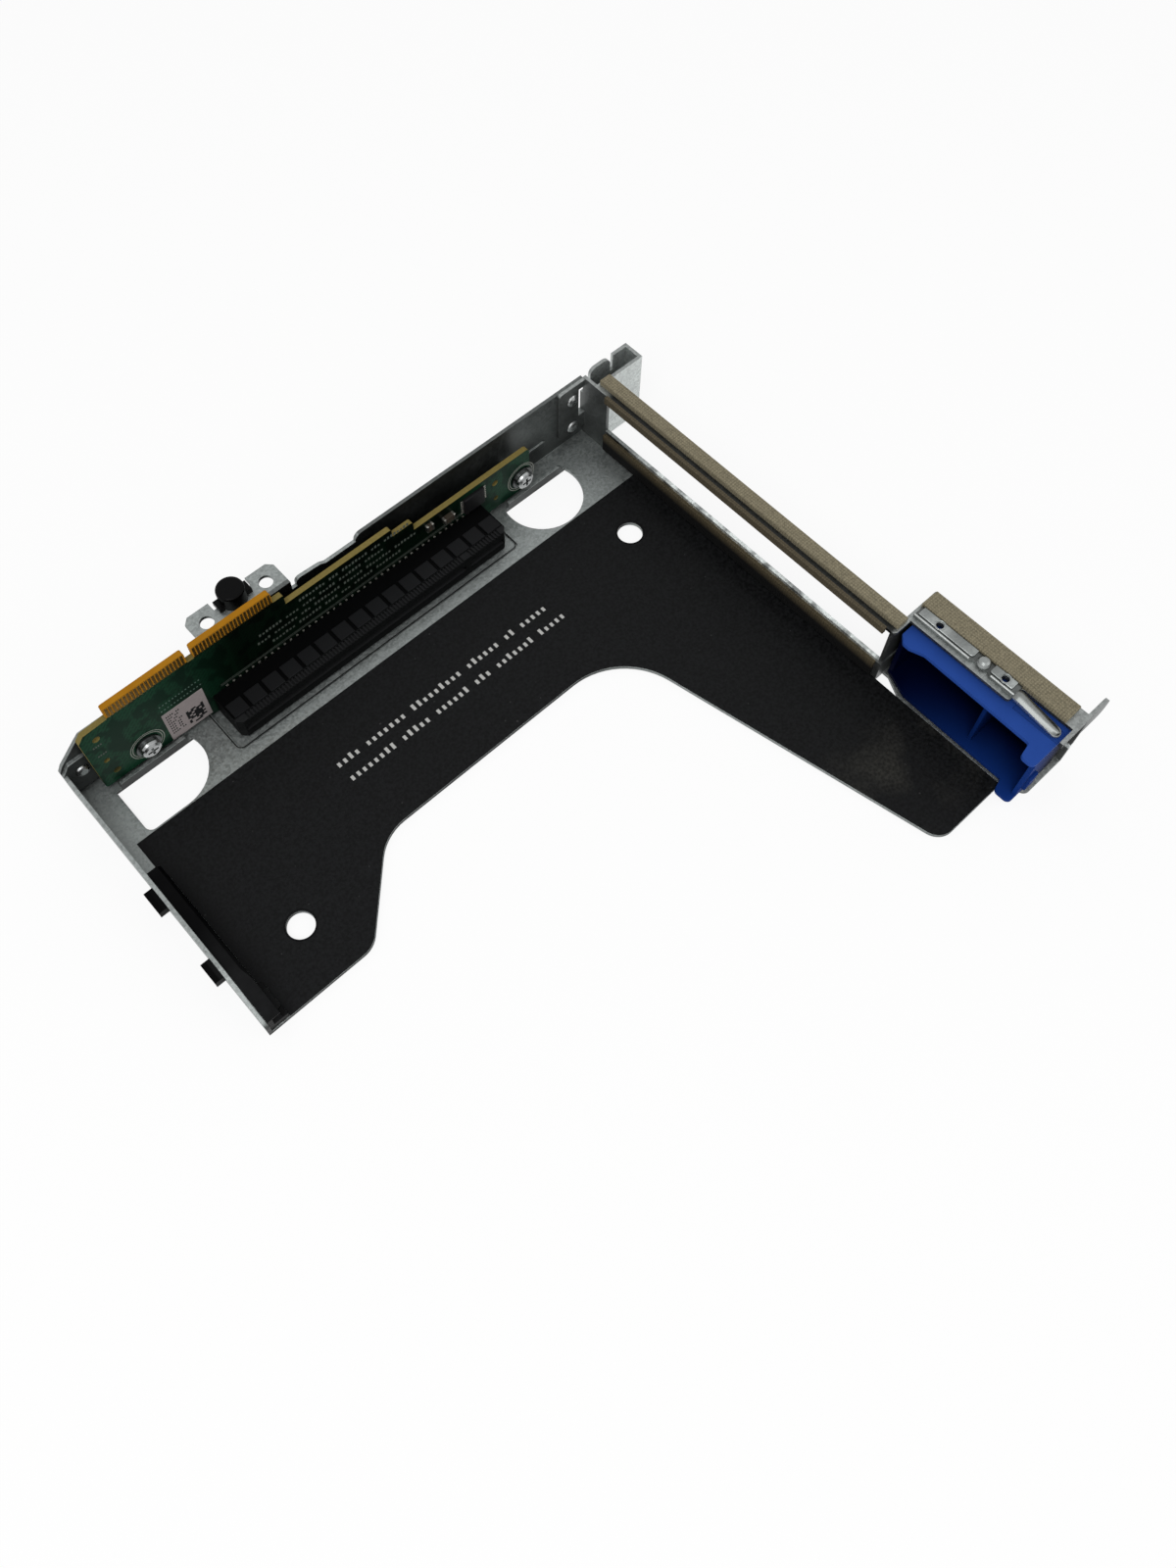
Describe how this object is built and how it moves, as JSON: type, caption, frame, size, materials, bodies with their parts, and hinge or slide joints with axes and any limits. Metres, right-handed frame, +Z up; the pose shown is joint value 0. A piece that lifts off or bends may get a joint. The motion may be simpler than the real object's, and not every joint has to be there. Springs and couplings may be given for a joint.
{
  "type": "server riser cage",
  "caption": "Sheet metal riser cage with an upright riser board, a horizontal card slot, a rear panel window and a blue swing latch that retains one expansion card",
  "frame": {"origin": "middle of the footprint, on the surface the base plate rests on", "axes": "+X along the back wall towards the rear panel, +Y from the open side towards the back wall, +Z up, away from the base plate"},
  "size_m": [0.1998, 0.1688, 0.0323],
  "materials": {
    "tray": "galvanised sheet, fine grain",
    "insulating_film": "matte black film",
    "riser_board": "dark green solder mask",
    "edge_fingers": "gold plated",
    "slot_housing": "moulded black",
    "slot_contacts": "gold plated",
    "solder_tails": "tinned",
    "board_standoffs": "plated",
    "board_washers": "plated",
    "board_screw_left": "bright nickel",
    "board_screw_right": "bright nickel",
    "control_chip": "moulded",
    "capacitors": "ceramic",
    "board_label": "grey film",
    "rear_bracket": "galvanised sheet, fine grain",
    "bracket_rivets": "plated",
    "corner_rivet": "plated",
    "rail_gasket": "woven conductive tape",
    "window_gasket": "woven conductive tape",
    "lower_gasket": "woven conductive tape",
    "bay_gasket": "woven conductive tape",
    "card_latch": "moulded blue",
    "latch_pin": "ground",
    "latch_spring": "spring strip",
    "spring_rivet": "plated",
    "card_guide": "moulded black",
    "guide_post": "moulded black"
  },
  "bodies": {
    "cage": {"tray": "tray", "insulating_film": "insulating_film", "riser_board": "riser_board", "edge_fingers": "edge_fingers", "slot_housing": "slot_housing", "slot_contacts": "slot_contacts", "solder_tails": "solder_tails", "board_standoffs": "board_standoffs", "board_washers": "board_washers", "board_screw_left": "board_screw_left", "board_screw_right": "board_screw_right", "control_chip": "control_chip", "capacitors": "capacitors", "board_label": "board_label", "rear_bracket": "rear_bracket", "bracket_rivets": "bracket_rivets", "corner_rivet": "corner_rivet", "rail_gasket": "rail_gasket", "window_gasket": "window_gasket", "lower_gasket": "lower_gasket", "bay_gasket": "bay_gasket", "latch_pin": "latch_pin", "latch_spring": "latch_spring", "spring_rivet": "spring_rivet", "card_guide": "card_guide", "guide_post": "guide_post"},
    "latch": {"card_latch": "card_latch"}
  },
  "joints": [
    {"name": "latch_pivot", "type": "hinge", "parent": "cage", "child": "latch", "pos_m": [0.0879, -0.08055, 0.0114], "axis": [0, 0, 1], "range_deg": [0, 75]}
  ]
}
